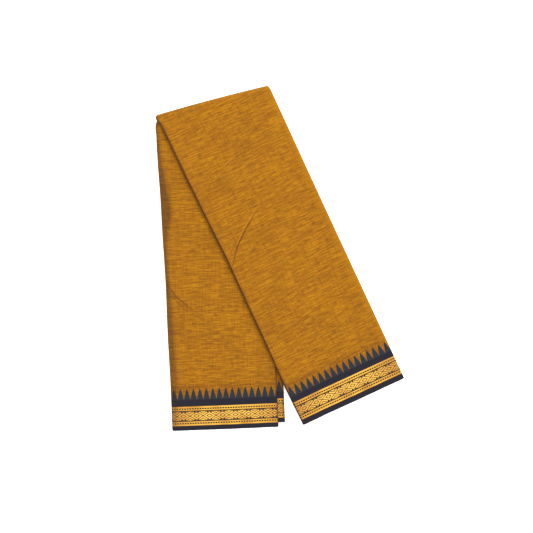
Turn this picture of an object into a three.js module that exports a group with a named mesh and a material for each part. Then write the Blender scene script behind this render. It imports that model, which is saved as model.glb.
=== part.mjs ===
// A cotton saree, pressed and folded as it is kept on a shelf, and laid on a table.
//
// The cloth is halved five times along its length into a pack of 32 layers. The pack is then turned over on
// itself at a slant, so that its lower leg lies on the table and its upper leg fans out over it. The two
// selvedges, with their woven borders, end up at the hems of the two legs. The pack's left side is closed by
// the fold of the last halving. Its right side is open and shows the lips of the earlier folds.
//
// Millimetres, +Z up. X runs across the legs and Y from the hems to the turn. Every solid is worked out in the
// flat pack's own measures and then carried to its folded place. These measures are `across` from the closed
// side, a distance from the hem, and `depth` from the face that lies inside the turn.
import * as THREE from 'three';

const { degToRad, lerp, smoothstep } = THREE.MathUtils;

// The cloth and its pack
const SAREE_LENGTH = 6300; // end to end, with its blouse piece
const LAYERS = 32; // five halvings
const UNEVEN_FOLDS = 6; // the layers' folds don't lie exactly on each other
const PACK_WIDTH = SAREE_LENGTH / LAYERS + UNEVEN_FOLDS;
const LAYER_PITCH = 0.3; // one layer of cotton with the air on it
const PACK_THICK = LAYERS * LAYER_PITCH;
const CLOSED_RADIUS = PACK_THICK / 2;
const ROUND_FACETS = 8; // round the closed side
const LEAF = 1.2; // the wall that stands for an outer leaf
const GAP = 0.3; // between neighbouring solids

// The border, woven to the body along a row of temple teeth
const BORDER_WIDTH = 55; // from the selvedge to the foot of the teeth
const TOOTH_HEIGHT = 19;
const TOOTH_PITCH = 11.5;
const FIRST_TOOTH = 6.8; // from the closed side
const SEAM = (GAP * Math.hypot(TOOTH_HEIGHT, TOOTH_PITCH / 2)) / (TOOTH_PITCH / 2); // along the leg

// The turn between the legs. Its axis runs along the crease inside the pack.
const TURN = {
  span: 210, // along the axis, from the closed side to the open one
  tilt: 14.9, // degrees above X
  facets: 8, // round the half turn
  drawnIn: 3, // how far the outermost layer draws in at the open corner
  bow: 1.4, // how far the outermost layer bows out in the middle
};
const CREASE_RADIUS = GAP / 2;
const TURN_RADIUS = CREASE_RADIUS + PACK_THICK;
const TURN_HEIGHT = PACK_THICK + CREASE_RADIUS; // the axis above the table

// The legs start from the turn's axis. `lean` is from straight down and `hemTilt` above X, in degrees.
// `closedSide` gives how far the closed side stands inside its straight line, by the distance below the turn.
// `hemSlant` is how far the hem of the leg's lower face stands behind the hem of its upper face.
const LOWER = {
  lean: 2.85,
  leftSide: 557,
  hemTilt: 2.3,
  hemSpan: 202.3,
  hemSlant: 8,
  facesUp: false, // the face that lies inside the turn is uppermost
  fieldSpans: 7,
  closedSide: [
    { below: 0, inward: -1 },
    { below: 4, inward: -2 },
    { below: 25, inward: -2.6 },
    { below: 70, inward: -2.5 },
    { below: 130, inward: -0.9 },
    { below: 200, inward: -0.4 },
    { below: 290, inward: 1 },
    { below: 380, inward: 0.2 },
    { below: 475, inward: 0.8 },
    { below: 557, inward: 0 },
  ],
};
const UPPER = {
  lean: 25.3,
  leftSide: 603.8,
  hemTilt: 24.5,
  hemSpan: 202.6,
  hemSlant: 3,
  facesUp: true,
  fieldSpans: 10,
  closedSide: [
    { below: 0, inward: 0 },
    { below: 5, inward: 2.4 },
    { below: 10, inward: 4.5 },
    { below: 20, inward: 5.2 },
    { below: 190, inward: 5.5 },
    { below: 270, inward: 7.2 },
    { below: 355, inward: 6.4 },
    { below: 450, inward: 5.7 },
    { below: 520, inward: 4.4 },
    { below: 604, inward: 5 },
  ],
};
const DRAPE_RUN = 90; // past the lower leg, the upper leg comes down to the table over this length
const HEM_DROOP = 2; // the lower leg's front leaf sinks by this much at its free hem
const DROOP_RUN = 8;

// The open side and the hems
const FRONT_LEAF_EDGE = PACK_WIDTH - 12.4; // the lower leg's front leaf stops short
const SECOND_LEAF = { edge: PACK_WIDTH - 0.5, hemBack: 8.2, below: 7 };
const LIPS = [
  // layers in the lip, how far its fold and its hem stand back
  { layers: 2, inset: 2.2, back: 1 },
  { layers: 4, inset: 3.6, back: 2.6 },
  { layers: 8, inset: 2.6, back: 1.6 },
  { layers: 16, inset: 4, back: 3 },
];
const LIP_ROUND = 0.22; // share of a lip's thickness that each of its rounded edges takes
const LIP_GROOVE = 3.5;
const HEM_GROOVE = 2.5;
const HIDDEN_HEM_BACK = { lower: 9.3, upper: 1.2 };

// Rows of points along the legs
const BORDER_ROWS = [0, DROOP_RUN / 2, DROOP_RUN, 27, 42]; // distances from the hem
const FIELD_FOOT = BORDER_WIDTH + TOOTH_HEIGHT + 6;
const UPPER_TOP_ROWS = [20, 10, 5]; // distances below the turn
const LOWER_TOP_ROWS = [25, 4, GAP];

const COLOURS = { field: '#b9791e', border: '#34323b', layers: '#a86c1c' };

// Plan of the turn and of both legs
const bearing = (degrees) => new THREE.Vector2(Math.cos(degToRad(degrees)), Math.sin(degToRad(degrees)));
const ALONG_AXIS = bearing(TURN.tilt);
const OUTWARD = bearing(TURN.tilt + 90);
const AXIS_LEFT = new THREE.Vector2(0, 0);
const AXIS_RIGHT = AXIS_LEFT.clone().addScaledVector(ALONG_AXIS, TURN.span);
for (const leg of [LOWER, UPPER]) {
  leg.hemLeft = AXIS_LEFT.clone().addScaledVector(bearing(leg.lean - 90), leg.leftSide);
  leg.hemRight = leg.hemLeft.clone().addScaledVector(bearing(leg.hemTilt), leg.hemSpan);
}
const OPEN_SIDE = LOWER.hemRight.clone().sub(AXIS_RIGHT).normalize();

function readTable(rows, below) {
  const next = rows.findIndex((row) => row.below > below);
  if (next < 1) return rows[next === 0 ? 0 : rows.length - 1].inward;
  const [from, to] = [rows[next - 1], rows[next]];
  return lerp(from.inward, to.inward, (below - from.below) / (to.below - from.below));
}

function legLength(leg, across) {
  const share = across / PACK_WIDTH;
  return leg.hemLeft.clone().lerp(leg.hemRight, share).distanceTo(AXIS_LEFT.clone().lerp(AXIS_RIGHT, share));
}

// Height of what the upper leg lies on: the lower leg, then an easy slope down to the table.
function drape(point) {
  const fromAxis = point.clone().sub(AXIS_RIGHT);
  const pastLowerLeg = fromAxis.y * OPEN_SIDE.x - fromAxis.x * OPEN_SIDE.y;
  return (PACK_THICK + GAP) * (1 - smoothstep(pastLowerLeg, 0, DRAPE_RUN));
}

function onLeg(leg, across, fromHem, depth) {
  const share = across / PACK_WIDTH;
  const length = legLength(leg, across);
  const point = leg.hemLeft.clone().lerp(leg.hemRight, share);
  point.lerp(AXIS_LEFT.clone().lerp(AXIS_RIGHT, share), fromHem / length);
  point.addScaledVector(ALONG_AXIS, readTable(leg.closedSide, length - fromHem) * (1 - share));
  if (leg.facesUp) return new THREE.Vector3(point.x, point.y, drape(point) + depth);
  const free = Math.max(0, 1 - fromHem / DROOP_RUN);
  const droop = HEM_DROOP * free * free * (1 - depth / PACK_THICK);
  return new THREE.Vector3(point.x, point.y, PACK_THICK - depth - droop);
}

// A point of the turn, `angle` degrees round from the upper leg to the lower one.
function onTurn(angle, across, depth) {
  const share = across / PACK_WIDTH;
  const radius = CREASE_RADIUS + depth;
  const reach = (radius / TURN_RADIUS) * Math.sin(degToRad(angle));
  const point = AXIS_LEFT.clone().lerp(AXIS_RIGHT, share);
  point.addScaledVector(OUTWARD, reach * (TURN_RADIUS + TURN.bow * 4 * share * (1 - share)));
  point.addScaledVector(ALONG_AXIS, -reach * TURN.drawnIn * share);
  return new THREE.Vector3(point.x, point.y, TURN_HEIGHT + radius * Math.cos(degToRad(angle)));
}

// Stations along the pack. Each one is a function that places a point (across, depth), `back` behind the hem.
const fromHem = (leg, distance) => (across, depth, back) => onLeg(leg, across, distance + back, depth);
const belowTurn = (leg, below) => (across, depth) => onLeg(leg, across, legLength(leg, across) - below, depth);
const inField = (leg, share, topRow) => (across, depth, back) =>
  onLeg(leg, across, lerp(FIELD_FOOT + back, legLength(leg, across) - topRow, share), depth);
const roundTurn = (angle) => (across, depth) => onTurn(angle, across, depth);

// One for the tip of a temple tooth and zero for its foot. The outermost line of the closed side is a foot.
function toothShare(across) {
  if (across < FIRST_TOOTH) return Math.max(0, across / FIRST_TOOTH);
  return Math.abs(((2 * (across - FIRST_TOOTH)) / TOOTH_PITCH) % 2 - 1);
}
const onSeam = (leg, offset) => (across, depth, back) =>
  onLeg(leg, across, BORDER_WIDTH + TOOTH_HEIGHT * toothShare(across) + offset + back, depth);

const spaced = (from, to, spans) => Array.from({ length: spans + 1 }, (_, i) => lerp(from, to, i / spans));
const fieldRows = (leg, spans, topRow) => spaced(0, 1, spans).map((share) => inField(leg, share, topRow));

// All lists of stations run the same way along the pack, from the upper hem over the turn to the lower hem.
const UPPER_BORDER = [...BORDER_ROWS.map((distance) => fromHem(UPPER, distance)), onSeam(UPPER, -SEAM / 2)];
const UPPER_FIELD = [
  ...fieldRows(UPPER, UPPER.fieldSpans, UPPER_TOP_ROWS[0]),
  ...UPPER_TOP_ROWS.slice(1).map((below) => belowTurn(UPPER, below)),
];
const TURNING = spaced(0, 180, TURN.facets).map(roundTurn);
const LOWER_FIELD = [
  ...fieldRows(LOWER, LOWER.fieldSpans, LOWER_TOP_ROWS[0]),
  ...LOWER_TOP_ROWS.slice(1).map((below) => belowTurn(LOWER, below)),
].reverse();
const LOWER_BORDER = [...BORDER_ROWS.map((distance) => fromHem(LOWER, distance)), onSeam(LOWER, -SEAM / 2)].reverse();

// A closed body from a bent block of columns, rows and levels, whose corners `place` gives. The block's sides
// are split along the same diagonals as its neighbours', which `leftward` columns need told.
function bentBlock(columns, rows, levels, place, leftward = () => false) {
  const positions = [];
  const triangle = (...corners) => corners.forEach((corner) => positions.push(...place(...corner).toArray()));
  const quad = (a, b, c, d, otherDiagonal = false) => {
    triangle(...(otherDiagonal ? [b, c, d] : [a, b, c]));
    triangle(...(otherDiagonal ? [b, d, a] : [a, c, d]));
  };
  for (let i = 0; i < columns; i++)
    for (let j = 0; j < rows; j++) {
      quad([i, j, levels], [i + 1, j, levels], [i + 1, j + 1, levels], [i, j + 1, levels], leftward(i));
      quad([i + 1, j, 0], [i, j, 0], [i, j + 1, 0], [i + 1, j + 1, 0], !leftward(i));
    }
  for (let k = 0; k < levels; k++) {
    for (let i = 0; i < columns; i++) {
      quad([i, 0, k], [i + 1, 0, k], [i + 1, 0, k + 1], [i, 0, k + 1]);
      quad([i, rows, k], [i, rows, k + 1], [i + 1, rows, k + 1], [i + 1, rows, k]);
    }
    for (let j = 0; j < rows; j++) {
      quad([0, j, k], [0, j, k + 1], [0, j + 1, k + 1], [0, j + 1, k]);
      quad([columns, j, k], [columns, j + 1, k], [columns, j + 1, k + 1], [columns, j, k + 1]);
    }
  }
  const geometry = new THREE.BufferGeometry();
  geometry.setAttribute('position', new THREE.Float32BufferAttribute(positions, 3));
  return geometry;
}

// Columns of points from the closed side's fold to an edge, one for each tip and foot of a tooth, or each tip.
function columnsTo(edge, step) {
  const count = Math.ceil((edge - FIRST_TOOTH - step / 4) / step);
  return [...Array.from({ length: count }, (_, i) => FIRST_TOOTH + i * step), edge];
}

// The section of an outer leaf: along the inner face, round the closed side and back along the outer face.
function wrapSection(inner, outer) {
  const middle = CLOSED_RADIUS - LEAF / 2;
  const round = spaced(270, 90, ROUND_FACETS).map((degrees) => {
    const normal = bearing(degrees);
    return { across: CLOSED_RADIUS + middle * normal.x, depth: CLOSED_RADIUS + middle * normal.y, normal };
  });
  const face = (columns, depth, normal) => columns.map((across) => ({ across, depth, normal }));
  return [
    ...face(inner, LEAF / 2, bearing(270)).reverse(),
    ...round,
    ...face(outer, PACK_THICK - LEAF / 2, bearing(90)),
  ];
}

function wrappedLeaf(leg, section, stations) {
  const place = (i, j, k) => {
    const { across, depth, normal } = section[i];
    const out = (k - 0.5) * LEAF;
    const fromTop = leg.facesUp ? PACK_THICK - depth : depth;
    const back = leg.hemSlant * smoothstep(fromTop, 0, PACK_THICK);
    return stations[j](across + normal.x * out, depth + normal.y * out, back);
  };
  const leftward = (i) => section[i + 1].across < section[i].across;
  return bentBlock(section.length - 1, stations.length - 1, 1, place, leftward);
}

// A flat leaf that lies inside the wrap, under the lower leg's front leaf.
function insideLeaf(columns, stations) {
  const outerSide = 2 * LEAF + GAP;
  const place = (i, j, k) => stations[j](columns[i], outerSide - (1 - k) * LEAF, SECOND_LEAF.hemBack);
  return bentBlock(columns.length - 1, stations.length - 1, 1, place);
}

// Levels through the hidden layers' thickness, as a share of it, and how far each stands back at its edges.
function lipLevels() {
  const total = LIPS.reduce((sum, lip) => sum + lip.layers, 0);
  const levels = [];
  let below = 0;
  for (const { layers, inset, back } of LIPS) {
    const share = layers / total;
    levels.push({ share: below, inset: inset + LIP_GROOVE, back: back + HEM_GROOVE });
    levels.push({ share: below + share * LIP_ROUND, inset, back });
    levels.push({ share: below + share * (1 - LIP_ROUND), inset, back });
    below += share;
  }
  const last = LIPS[LIPS.length - 1];
  levels.push({ share: 1, inset: last.inset + LIP_GROOVE, back: last.back + HEM_GROOVE });
  return levels;
}

// The layers that don't show, through both legs and the turn, with the lips of their folds on the open side.
function hiddenLayers() {
  const innerSide = LEAF + GAP;
  const outerSide = PACK_THICK - LEAF - GAP;
  const radius = CLOSED_RADIUS - innerSide;
  const underSecondLeaf = 2 * innerSide;
  const row = (at, from = innerSide, hemBack = 0) => ({ at, from, hemBack });
  const [, , , ...deepRows] = BORDER_ROWS;
  const rows = [
    row(fromHem(UPPER, 0), innerSide, HIDDEN_HEM_BACK.upper),
    ...[...deepRows, BORDER_WIDTH].map((distance) => row(fromHem(UPPER, distance))),
    ...UPPER_FIELD.map((at) => row(at)),
    ...TURNING.map((at) => row(at)),
    ...LOWER_FIELD.slice(0, 2).map((at) => row(at)),
    row(belowTurn(LOWER, SECOND_LEAF.below - GAP), underSecondLeaf),
    ...LOWER_FIELD.slice(2).map((at) => row(at, underSecondLeaf)),
    ...[...deepRows].reverse().map((distance) => row(fromHem(LOWER, distance), underSecondLeaf)),
    row(fromHem(LOWER, 0), underSecondLeaf, HIDDEN_HEM_BACK.lower),
  ];
  const columns = columnsTo(PACK_WIDTH, TOOTH_PITCH).slice(0, -1);
  const levels = lipLevels();
  const place = (i, j, k) => {
    const { at, from, hemBack } = rows[j];
    const { share, inset, back } = levels[k];
    const depth = lerp(from, outerSide, share);
    const rise = Math.min(1, Math.abs(depth - CLOSED_RADIUS) / radius);
    const closed = CLOSED_RADIUS - radius * Math.sqrt(1 - rise * rise);
    const across = [closed, ...columns, PACK_WIDTH - LEAF - inset][i];
    return at(across, depth, hemBack > 0 ? hemBack + back : 0);
  };
  return bentBlock(columns.length + 1, rows.length - 1, levels.length - 1, place);
}

function piece(name, geometry, colour) {
  const cloth = new THREE.MeshStandardMaterial({ color: colour, roughness: 0.85, metalness: 0 });
  const mesh = new THREE.Mesh(geometry, cloth);
  mesh.name = name;
  return mesh;
}

// The upper leg's leaf and the turn's
function upperStretch() {
  const section = wrapSection(columnsTo(PACK_WIDTH - LEAF, TOOTH_PITCH), columnsTo(PACK_WIDTH, TOOTH_PITCH / 2));
  const field = [onSeam(UPPER, SEAM / 2), ...UPPER_FIELD, ...TURNING];
  return [
    piece('upper_field', wrappedLeaf(UPPER, section, field), COLOURS.field),
    piece('upper_border', wrappedLeaf(UPPER, section, UPPER_BORDER), COLOURS.border),
  ];
}

function lowerStretch() {
  const section = wrapSection(columnsTo(FRONT_LEAF_EDGE, TOOTH_PITCH / 2), columnsTo(PACK_WIDTH - LEAF, TOOTH_PITCH));
  const field = [...LOWER_FIELD, onSeam(LOWER, SEAM / 2)];
  return [
    piece('lower_field', wrappedLeaf(LOWER, section, field), COLOURS.field),
    piece('lower_border', wrappedLeaf(LOWER, section, LOWER_BORDER), COLOURS.border),
  ];
}

function secondLeaf() {
  const columns = columnsTo(SECOND_LEAF.edge, TOOTH_PITCH / 2);
  const field = [belowTurn(LOWER, SECOND_LEAF.below), fromHem(LOWER, FIELD_FOOT), onSeam(LOWER, SEAM / 2)];
  const border = [onSeam(LOWER, -SEAM / 2), fromHem(LOWER, 27), fromHem(LOWER, 0)];
  return [
    piece('second_leaf_field', insideLeaf(columns, field), COLOURS.field),
    piece('second_leaf_border', insideLeaf(columns, border), COLOURS.border),
  ];
}

const saree = new THREE.Group();
saree.add(...upperStretch(), ...lowerStretch(), ...secondLeaf());
saree.add(piece('hidden_layers', hiddenLayers(), COLOURS.layers));

// The origin is on the table, under the middle of the folded saree.
const middle = new THREE.Box3().setFromObject(saree).getCenter(new THREE.Vector3());
saree.position.set(-middle.x, -middle.y, 0);

export default saree;
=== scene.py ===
import math

import bpy
import numpy as np
from bpy.props import FloatProperty, FloatVectorProperty, PointerProperty
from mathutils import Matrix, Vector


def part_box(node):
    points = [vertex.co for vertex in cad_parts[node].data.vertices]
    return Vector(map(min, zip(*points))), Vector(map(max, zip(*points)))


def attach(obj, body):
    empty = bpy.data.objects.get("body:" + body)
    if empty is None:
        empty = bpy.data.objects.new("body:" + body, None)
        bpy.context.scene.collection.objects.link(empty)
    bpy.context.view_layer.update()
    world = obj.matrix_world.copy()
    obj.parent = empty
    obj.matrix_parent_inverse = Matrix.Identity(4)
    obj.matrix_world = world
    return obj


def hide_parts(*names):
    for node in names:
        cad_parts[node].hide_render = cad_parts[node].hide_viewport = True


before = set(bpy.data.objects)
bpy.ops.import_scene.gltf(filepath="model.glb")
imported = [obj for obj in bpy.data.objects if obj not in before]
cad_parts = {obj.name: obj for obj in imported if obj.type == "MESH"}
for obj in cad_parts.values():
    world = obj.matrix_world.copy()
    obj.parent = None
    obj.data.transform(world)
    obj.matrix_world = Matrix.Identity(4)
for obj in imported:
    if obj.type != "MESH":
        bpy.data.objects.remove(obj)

bl_info = {
    "name": "Folded saree",
    "version": (1, 0, 0),
    "blender": (4, 5, 0),
    "location": "3D view > Sidebar > Saree",
    "description": "Dresses the packed model of a folded cotton saree with cloth, border and a stage",
    "category": "Add Mesh",
}

# Everything is worked out in millimetres, in the flat pack's own measures, and then carried to its folded
# place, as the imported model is. `across` runs from the closed side to the open one, `from_hem` from a leg's
# hem to the turn, and `depth` from the face that lies inside the turn. Along the cloth, `u` runs across from
# the closed side's edge and `v` from the selvedge.
MM = 0.001
MAIN_BODY = "root"

# The pack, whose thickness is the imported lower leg's
LOWER_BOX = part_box("lower_field")
PACK_THICK = (LOWER_BOX[1].z - LOWER_BOX[0].z) / MM
PACK_WIDTH = 6300 / 32 + 6
CLOSED_RADIUS = PACK_THICK / 2
QUARTER_ROUND = CLOSED_RADIUS * math.pi / 2
LIP_RADIUS = PACK_THICK / 4  # the outermost lip holds half of the layers

# The turn
AXIS_LEFT = np.array([-220.32, 246.69])
AXIS_SPAN = 210.0
AXIS_TILT = 14.9
DRAWN_IN = 3.0
BOW = 1.4
CREASE_RADIUS = 0.15
TURN_RADIUS = CREASE_RADIUS + PACK_THICK
TURN_HEIGHT = PACK_THICK + CREASE_RADIUS

# The legs, with the inward stand of their closed sides by the distance below the turn. `teeth` and
# `diamonds` give where the first repeat of the border is centred, and its pitch. `band_shift` moves the
# gold band away from the selvedge. The closed side's band table gives the dark band along the fold: by the
# distance from the hem, the strength, how far past the fold's edge the band is centred, and its reach. On the
# lower leg it is the brown weft that the fold turns up together with painted shade where the fold rolls away
# and where the upper leg's fold shades it; on the upper leg it is a painted shadow in the crevice where its
# fold meets the lower leg. `open_edge` gives the strength and the reach at the leaf's open edge: above zero a
# painted shade line along the edge, below zero a painted highlight.
LOWER = {
    "lean": 2.85,
    "left_side": 557.0,
    "hem_tilt": 2.3,
    "hem_span": 202.3,
    "hem_slant": 8.0,
    "faces_up": False,
    "below": (0, 4, 25, 70, 130, 200, 290, 380, 475, 557),
    "inward": (0, -1.9, -2.6, -2.5, -0.9, -0.4, 1.0, 0.2, 0.8, 0),
    "teeth": (6.0, 11.68),
    "diamonds": (21.6, 23.4),
    "band_shift": -0.2,
    # The lower leg's band: the brown weft that the fold turns up, with painted shade where the fold rolls
    # away and near the turn
    "weft_and_painted_light": (
        (0, 0.5, 6.0, 7.7),
        (115, 0.85, 7.3, 9.2),
        (250, 0.88, 5.3, 7.0),
        (290, 0.88, 4.2, 5.7),
        (335, 0.85, 5.0, 6.6),
        (395, 0.95, 10.2, 12.4),
        (440, 0.97, 7.1, 8.9),
        (490, 0.85, 4.3, 5.9),
        (557, 0.7, 3.0, 4.4),
    ),
    # A painted shade line along the front leaf's open edge
    "open_edge": (1.5, 1.8),
}
UPPER = {
    "lean": 25.3,
    "left_side": 603.8,
    "hem_tilt": 24.5,
    "hem_span": 202.6,
    "hem_slant": 3.0,
    "faces_up": True,
    "below": (0, 5, 10, 20, 190, 270, 355, 450, 520, 604),
    "inward": (0, 1.4, 2.9, 3.0, 4.6, 6.5, 5.7, 5.0, 3.7, 4.3),
    "teeth": (5.9, 11.95),
    "diamonds": (14.6, 24.35),
    "band_shift": 1.2,
    # The upper leg's band is a painted shadow: the dark crevice where its fold meets the lower leg
    "weft_and_painted_light": ((0, 1.35, 1.6, 3.3), (604, 1.35, 1.6, 3.3)),
    # A painted highlight along the upper leg's open edge, where its strength is below zero
    "open_edge": (-0.8, 9.0),
}
# The second leaf's open edge gets a wider painted shade line
SECOND_LEAF = {**LOWER, "teeth": (195.3, 11.56), "open_edge": (1.5, 2.8)}
DRAPE_RUN = 90.0
HEM_DROOP = 2.0
DROOP_RUN = 8.0
TABLE_GAP = 0.3
FRONT_LEAF_EDGE = PACK_WIDTH - 11.4
SECOND_LEAF_EDGE = PACK_WIDTH + 0.7
UPPER_EDGE = PACK_WIDTH + 1.6
LOWER["edge_u"] = FRONT_LEAF_EDGE + QUARTER_ROUND - CLOSED_RADIUS
SECOND_LEAF["edge_u"] = SECOND_LEAF_EDGE + QUARTER_ROUND - CLOSED_RADIUS
UPPER["edge_u"] = UPPER_EDGE + QUARTER_ROUND - CLOSED_RADIUS
SECOND_LEAF_HEM = 8.2
SECOND_LEAF_TOP = 7.0

# The border, from the selvedge
BORDER_WIDTH = 54.8
TOOTH_HEIGHT = 19.9
BAND_MIDDLE = 26.0

# Lips of the folds on the open side: their share of the thickness, and how far fold and hem stand back
LIPS = ((0.0, 0.13, 2.2, 1.0), (0.13, 0.4, 3.8, 2.4), (0.4, 1.0, 2.6, 1.6))


def bearing(degrees):
    """The unit vector that points so many degrees above X."""
    return np.array([math.cos(math.radians(degrees)), math.sin(math.radians(degrees))])


ALONG_AXIS = bearing(AXIS_TILT)
OUTWARD = bearing(AXIS_TILT + 90)
AXIS_RIGHT = AXIS_LEFT + ALONG_AXIS * AXIS_SPAN
for leg in (LOWER, UPPER):
    leg["hem_left"] = AXIS_LEFT + bearing(leg["lean"] - 90) * leg["left_side"]
    leg["hem_right"] = leg["hem_left"] + bearing(leg["hem_tilt"]) * leg["hem_span"]
OPEN_SIDE = (LOWER["hem_right"] - AXIS_RIGHT) / np.linalg.norm(LOWER["hem_right"] - AXIS_RIGHT)


class SareeSizes(bpy.types.PropertyGroup):
    """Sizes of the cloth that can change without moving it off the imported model."""

    cloth_thickness: FloatProperty(
        name="Cloth thickness",
        description="Thickness of the outer leaves",
        default=0.7 * MM,
        min=0.2 * MM,
        max=1.2 * MM,
        precision=5,
        subtype="DISTANCE",
        unit="LENGTH",
    )
    point_spacing: FloatProperty(
        name="Point spacing",
        description="Distance between the points of the cloth where it shows",
        default=3.0 * MM,
        min=2.0 * MM,
        max=12.0 * MM,
        subtype="DISTANCE",
        unit="LENGTH",
    )
    ripple_height: FloatProperty(
        name="Ripple height",
        description="Height of the soft waves that pressing leaves in the cloth",
        default=0.35 * MM,
        min=0.0,
        max=0.6 * MM,
        precision=5,
        subtype="DISTANCE",
        unit="LENGTH",
    )
    crease_depth: FloatProperty(
        name="Crease depth",
        description="Depth of the small pressed creases",
        default=0.5 * MM,
        min=0.0,
        max=0.8 * MM,
        precision=5,
        subtype="DISTANCE",
        unit="LENGTH",
    )
    camera_height: FloatProperty(
        name="Camera height",
        description="Height of the camera above the cloth",
        default=2.0,
        min=0.5,
        max=10.0,
        subtype="DISTANCE",
        unit="LENGTH",
    )


def linear_colour(hex_code):
    """Turns an sRGB hex value to linear red, green and blue."""
    channels = [int(hex_code[place : place + 2], 16) / 255 for place in (1, 3, 5)]
    return [c / 12.92 if c <= 0.04045 else ((c + 0.055) / 1.055) ** 2.4 for c in channels]


def colour_setting(name, description, hex_code):
    """A colour of the cloth that a user can change."""
    return FloatVectorProperty(
        name=name,
        description=description,
        default=linear_colour(hex_code),
        min=0.0,
        max=1.0,
        subtype="COLOR",
    )


class SareeColours(bpy.types.PropertyGroup):
    """Colours of the yarns and of the floor."""

    warp: colour_setting("Mustard", "Warp yarn of the body", "#805008")
    weft: colour_setting("Brown", "Weft yarn that shows in streaks and along the folds", "#583212")
    # Fold brown also paints the shade and shadow along the legs' edges
    fold: colour_setting("Fold brown", "Dark purple-brown weft that the folds turn up", "#2b1c15")
    # Bright mustard also paints the highlights at the upper leg's open edge and beside the creases
    bright: colour_setting("Bright mustard", "Thicker warp yarn that catches the light", "#99650a")
    border: colour_setting("Near-black", "Yarn of the border", "#1d1c24")
    teeth: colour_setting("Slate", "Border and body yarns mixed in the temple teeth", "#22272b")
    zari: colour_setting("Gold thread", "Metal-wrapped thread of the stripes", "#c8983a")
    zari_ground: colour_setting("Gold figure", "Gold thread of the diamonds", "#ca9e46")
    outline: colour_setting("Outline", "Dark brown outlines between the gold figures", "#21150c")
    floor: colour_setting("Floor", "Plain pale floor", "#f4f3f1")


def smooth_step(value, low, high):
    """Rises from zero at `low` to one at `high`, as 3 t squared less 2 t cubed."""
    share = np.clip((value - low) / (high - low), 0, 1)
    return share * share * (3 - 2 * share)


def smooth_table(distances, values, at):
    """A curve through the table's points, each span a cubic that keeps the neighbouring spans' slopes."""
    distances = np.array(distances, float)
    values = np.array(values, float)
    slopes = np.gradient(values, distances)
    place = np.clip(np.searchsorted(distances, at, side="right") - 1, 0, len(distances) - 2)
    span = distances[place + 1] - distances[place]
    t = np.clip((at - distances[place]) / span, 0, 1)
    start = (2 * t**3 - 3 * t**2 + 1) * values[place] + (t**3 - 2 * t**2 + t) * span * slopes[place]
    end = (3 * t**2 - 2 * t**3) * values[place + 1] + (t**3 - t**2) * span * slopes[place + 1]
    return start + end


def between(start, end, share):
    """Points at a share of the way from one point to another."""
    return start + (end - start) * share[..., None]


def leg_length(leg, across):
    """Distance from the hem to the turn's axis, at a distance across the leg."""
    share = across / PACK_WIDTH
    hem = between(leg["hem_left"], leg["hem_right"], share)
    axis = between(AXIS_LEFT, AXIS_RIGHT, share)
    return np.linalg.norm(hem - axis, axis=-1)


def drape_height(plan):
    """What the upper leg lies on: the lower leg, then a smooth slope down to the table over DRAPE_RUN."""
    from_axis = plan - AXIS_RIGHT
    past_lower_leg = from_axis[..., 1] * OPEN_SIDE[0] - from_axis[..., 0] * OPEN_SIDE[1]
    return (PACK_THICK + TABLE_GAP) * (1 - smooth_step(past_lower_leg, 0, DRAPE_RUN))


def place_on_leg(leg, across, from_hem, depth):
    """The folded place of points of a leg.

    In plan a point divides the line from the hem to the turn's axis. The closed side then moves inward by
    the leg's table, less towards the open side. The upper leg lies on the drape height, and the lower leg
    hangs from its top face, whose free hem sinks with the square of the distance.
    """
    across, from_hem, depth = np.broadcast_arrays(across, from_hem, depth)
    share = across / PACK_WIDTH
    length = leg_length(leg, across)
    hem = between(leg["hem_left"], leg["hem_right"], share)
    axis = between(AXIS_LEFT, AXIS_RIGHT, share)
    plan = between(hem, axis, from_hem / length)
    inward = smooth_table(leg["below"], leg["inward"], length - from_hem)
    plan = plan + ALONG_AXIS * (inward * (1 - share))[..., None]
    if leg["faces_up"]:
        height = drape_height(plan) + depth
    else:
        free = np.maximum(0, 1 - from_hem / DROOP_RUN)
        height = PACK_THICK - depth - HEM_DROOP * free**2 * (1 - depth / PACK_THICK)
    return np.concatenate([plan, height[..., None]], -1)


def place_on_turn(angle, across, depth):
    """The folded place of points of the turn.

    Each point goes round the axis on a circle of its depth, from above at zero degrees to below at 180. The
    turn bows outward in the middle, and its outer layers draw in at the open corner.
    """
    angle, across, depth = np.broadcast_arrays(angle, across, depth)
    share = across / PACK_WIDTH
    radius = CREASE_RADIUS + depth
    reach = radius / TURN_RADIUS * np.sin(np.radians(angle))
    plan = between(AXIS_LEFT, AXIS_RIGHT, share)
    plan = plan + OUTWARD * (reach * (TURN_RADIUS + BOW * 4 * share * (1 - share)))[..., None]
    plan = plan - ALONG_AXIS * (reach * DRAWN_IN * share)[..., None]
    height = TURN_HEIGHT + radius * np.cos(np.radians(angle))
    return np.concatenate([plan, height[..., None]], -1)


def corner_step(across):
    """How far the lower leg's layers stand back from the hem, past the front leaf's open edge.

    They stand back with the second leaf, in a smooth step from zero.
    """
    return (SECOND_LEAF_HEM + 0.6) * smooth_step(across, FRONT_LEAF_EDGE - 3, FRONT_LEAF_EDGE - 1)


def block_faces(columns, rows, levels):
    """Outward quads of a bent block of points, numbered columns first, then rows, then levels."""
    number = np.arange(columns * rows * levels).reshape(columns, rows, levels)

    def quads(grid, turned):
        corners = [grid[:-1, :-1], grid[1:, :-1], grid[1:, 1:], grid[:-1, 1:]]
        faces = np.stack(corners, -1).reshape(-1, 4)
        return faces[:, ::-1] if turned else faces

    return np.concatenate(
        [
            quads(number[:, :, -1], False),
            quads(number[:, :, 0], True),
            quads(number[:, 0, :], False),
            quads(number[:, -1, :], True),
            quads(number[0, :, :], True),
            quads(number[-1, :, :], False),
        ]
    )


def signed_volume(points, faces):
    """Volume inside the faces: a sixth of the sum of each triangle's triple product."""
    a, b, c, d = (points[faces[:, corner]] for corner in range(4))
    first = np.einsum("ij,ij->i", a, np.cross(b, c))
    second = np.einsum("ij,ij->i", a, np.cross(c, d))
    return (first.sum() + second.sum()) / 6


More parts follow.
